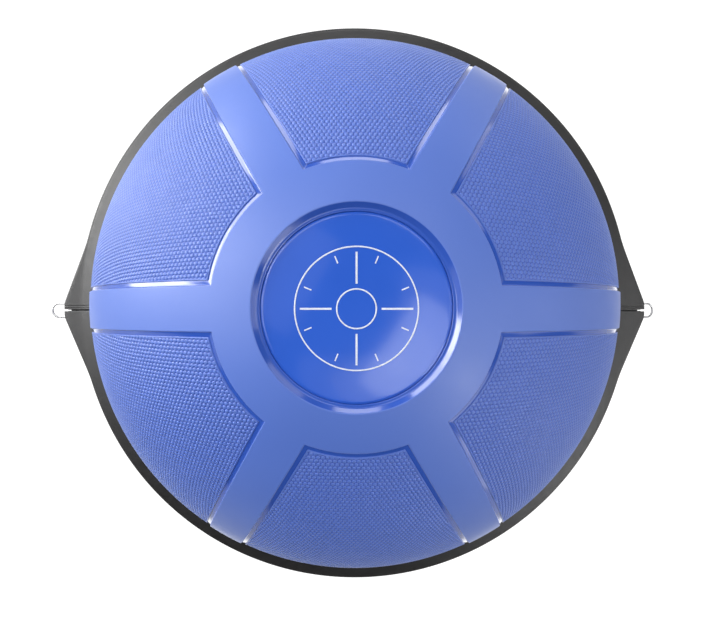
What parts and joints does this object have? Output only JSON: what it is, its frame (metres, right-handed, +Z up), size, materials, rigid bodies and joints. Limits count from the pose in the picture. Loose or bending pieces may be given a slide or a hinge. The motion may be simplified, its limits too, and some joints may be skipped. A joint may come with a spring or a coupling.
{
  "type": "balance dome trainer",
  "caption": "Air-filled half-dome on a flat round platform, with a clamped rim, two pointed ears and wire rings for resistance bands.",
  "frame": {"origin": "centre of the footprint, on the plane the feet rest on", "axes": "+Z up through the dome's crown, X through the two ears, +Y towards the rear half of the rim"},
  "size_m": [0.6725, 0.5999, 0.2068],
  "materials": {
    "platform_plastic": "grained moulded polypropylene",
    "rim_plastic": "satin moulded plastic with fine grain",
    "dome_vinyl": "satin PVC with moulded grip pattern",
    "floor_vinyl": "smooth PVC sheet",
    "disc_gloss": "high-gloss printed disc",
    "valve_rubber": "matte rubber",
    "ring_steel": "bright wire",
    "fastener_steel": "zinc plated",
    "foot_rubber": "matte rubber"
  },
  "bodies": {
    "base": {"platform_plate": "platform_plastic", "rim_half_rear": "rim_plastic", "rim_half_front": "rim_plastic", "dome_floor": "floor_vinyl", "valve_body": "valve_rubber", "ear_bolt_left": "fastener_steel", "ear_bolt_right": "fastener_steel", "ear_nut_left": "fastener_steel", "ear_nut_right": "fastener_steel", "platform_screws": "fastener_steel", "platform_washers": "fastener_steel", "foot_pad_1": "foot_rubber", "foot_pad_2": "foot_rubber", "foot_pad_3": "foot_rubber", "foot_pad_4": "foot_rubber", "foot_pad_5": "foot_rubber", "foot_pad_6": "foot_rubber", "foot_pad_7": "foot_rubber", "foot_pad_8": "foot_rubber"},
    "dome": {"dome_shell": "dome_vinyl", "centre_disc": "disc_gloss"},
    "plug": {"valve_plug": "valve_rubber"},
    "left_ring": {"ring_left": "ring_steel"},
    "right_ring": {"ring_right": "ring_steel"}
  },
  "joints": [
    {"name": "dome_press", "type": "slide", "parent": "base", "child": "dome", "axis": [0, 0, -1], "range_m": [0, 0.05], "stiffness_N_per_m": 12000, "deforming": ["dome_shell"]},
    {"name": "ring_left_swing", "type": "hinge", "parent": "base", "child": "left_ring", "pos_m": [-0.3125, 0, 0.0315], "axis": [0, 1, 0], "range_deg": [-88, 40]},
    {"name": "ring_right_swing", "type": "hinge", "parent": "base", "child": "right_ring", "pos_m": [0.3125, 0, 0.0315], "axis": [0, -1, 0], "range_deg": [-74, 54]},
    {"name": "valve_plug_pull", "type": "slide", "parent": "base", "child": "plug", "axis": [0, 0, -1], "range_m": [0, 0.03]}
  ]
}
